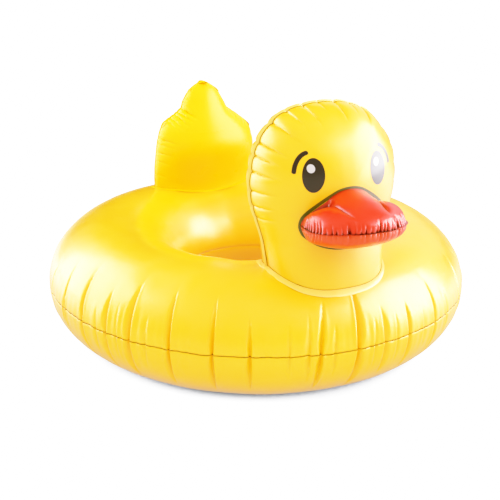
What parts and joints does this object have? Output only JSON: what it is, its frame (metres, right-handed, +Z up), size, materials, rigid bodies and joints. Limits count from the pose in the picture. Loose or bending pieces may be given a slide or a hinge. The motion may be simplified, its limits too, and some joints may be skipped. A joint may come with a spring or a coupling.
{
  "type": "inflatable animal swim ring",
  "caption": "Inflatable duck swim ring: a large air-filled ring to sit in, with an upright head, a stuffed beak and a tail, each filled through a push-in valve.",
  "frame": {"origin": "on the ground under the middle of the whole object, between the beak's tip and the back of the ring", "axes": "+Z up through the ring's opening, -Y the way the duck looks, +X the duck's left"},
  "size_m": [1.2, 1.2632, 0.7558],
  "materials": {
    "yellow_vinyl": "glossy soft PVC sheet",
    "lemon_vinyl": "glossy soft PVC sheet",
    "red_vinyl": "glossy soft PVC sheet",
    "orange_vinyl": "glossy soft PVC sheet",
    "valve_vinyl": "soft moulded PVC"
  },
  "bodies": {
    "float": {"ring_upper_panel": "yellow_vinyl", "ring_lower_panel": "yellow_vinyl", "head_face_panel": "yellow_vinyl", "head_back_panel": "yellow_vinyl", "head_base_panel": "yellow_vinyl", "beak_upper_panel": "red_vinyl", "beak_lower_panel": "orange_vinyl", "tail_front_panel": "lemon_vinyl", "tail_back_panel": "lemon_vinyl", "tail_base_panel": "lemon_vinyl", "ring_valve_flange": "valve_vinyl", "head_valve_flange": "valve_vinyl", "tail_valve_flange": "valve_vinyl"},
    "ring_valve_stem": {"ring_valve_stem": "valve_vinyl"},
    "ring_valve_plug": {"ring_valve_plug": "valve_vinyl"},
    "ring_valve_flap": {"ring_valve_flap": "valve_vinyl"},
    "head_valve_stem": {"head_valve_stem": "valve_vinyl"},
    "head_valve_plug": {"head_valve_plug": "valve_vinyl"},
    "head_valve_flap": {"head_valve_flap": "valve_vinyl"},
    "tail_valve_stem": {"tail_valve_stem": "valve_vinyl"},
    "tail_valve_plug": {"tail_valve_plug": "valve_vinyl"},
    "tail_valve_flap": {"tail_valve_flap": "valve_vinyl"}
  },
  "joints": [
    {"name": "ring_valve_pull_out", "type": "slide", "parent": "float", "child": "ring_valve_stem", "axis": [-0.0433, 0.66, 0.75], "range_m": [0, 0.012]},
    {"name": "ring_valve_plug_open", "type": "hinge", "parent": "ring_valve_stem", "child": "ring_valve_plug", "pos_m": [-0.02049, 0.57357, 0.2905], "axis": [-0.0491, 0.7484, -0.6614], "range_deg": [0, 135]},
    {"name": "ring_valve_flap_open", "type": "hinge", "parent": "ring_valve_stem", "child": "ring_valve_flap", "pos_m": [-0.02807, 0.55627, 0.27149], "axis": [0.0491, -0.7484, 0.6614], "range_deg": [0, 35], "stiffness_Nm_per_rad": 0.0005},
    {"name": "head_valve_pull_out", "type": "slide", "parent": "float", "child": "head_valve_stem", "axis": [0, 0.9709, -0.2395], "range_m": [0, 0.012]},
    {"name": "head_valve_plug_open", "type": "hinge", "parent": "head_valve_stem", "child": "head_valve_plug", "pos_m": [0, -0.22881, 0.44433], "axis": [-1, 0, 0], "range_deg": [0, 135]},
    {"name": "head_valve_flap_open", "type": "hinge", "parent": "head_valve_stem", "child": "head_valve_flap", "pos_m": [0, -0.25133, 0.45884], "axis": [1, 0, 0], "range_deg": [0, 35], "stiffness_Nm_per_rad": 0.0005},
    {"name": "tail_valve_pull_out", "type": "slide", "parent": "float", "child": "tail_valve_stem", "axis": [0, 0.9838, -0.1793], "range_m": [0, 0.012]},
    {"name": "tail_valve_plug_open", "type": "hinge", "parent": "tail_valve_stem", "child": "tail_valve_plug", "pos_m": [0, 0.4802, 0.44653], "axis": [-1, 0, 0], "range_deg": [0, 135]},
    {"name": "tail_valve_flap_open", "type": "hinge", "parent": "tail_valve_stem", "child": "tail_valve_flap", "pos_m": [0, 0.45682, 0.45963], "axis": [1, 0, 0], "range_deg": [0, 35], "stiffness_Nm_per_rad": 0.0005}
  ]
}
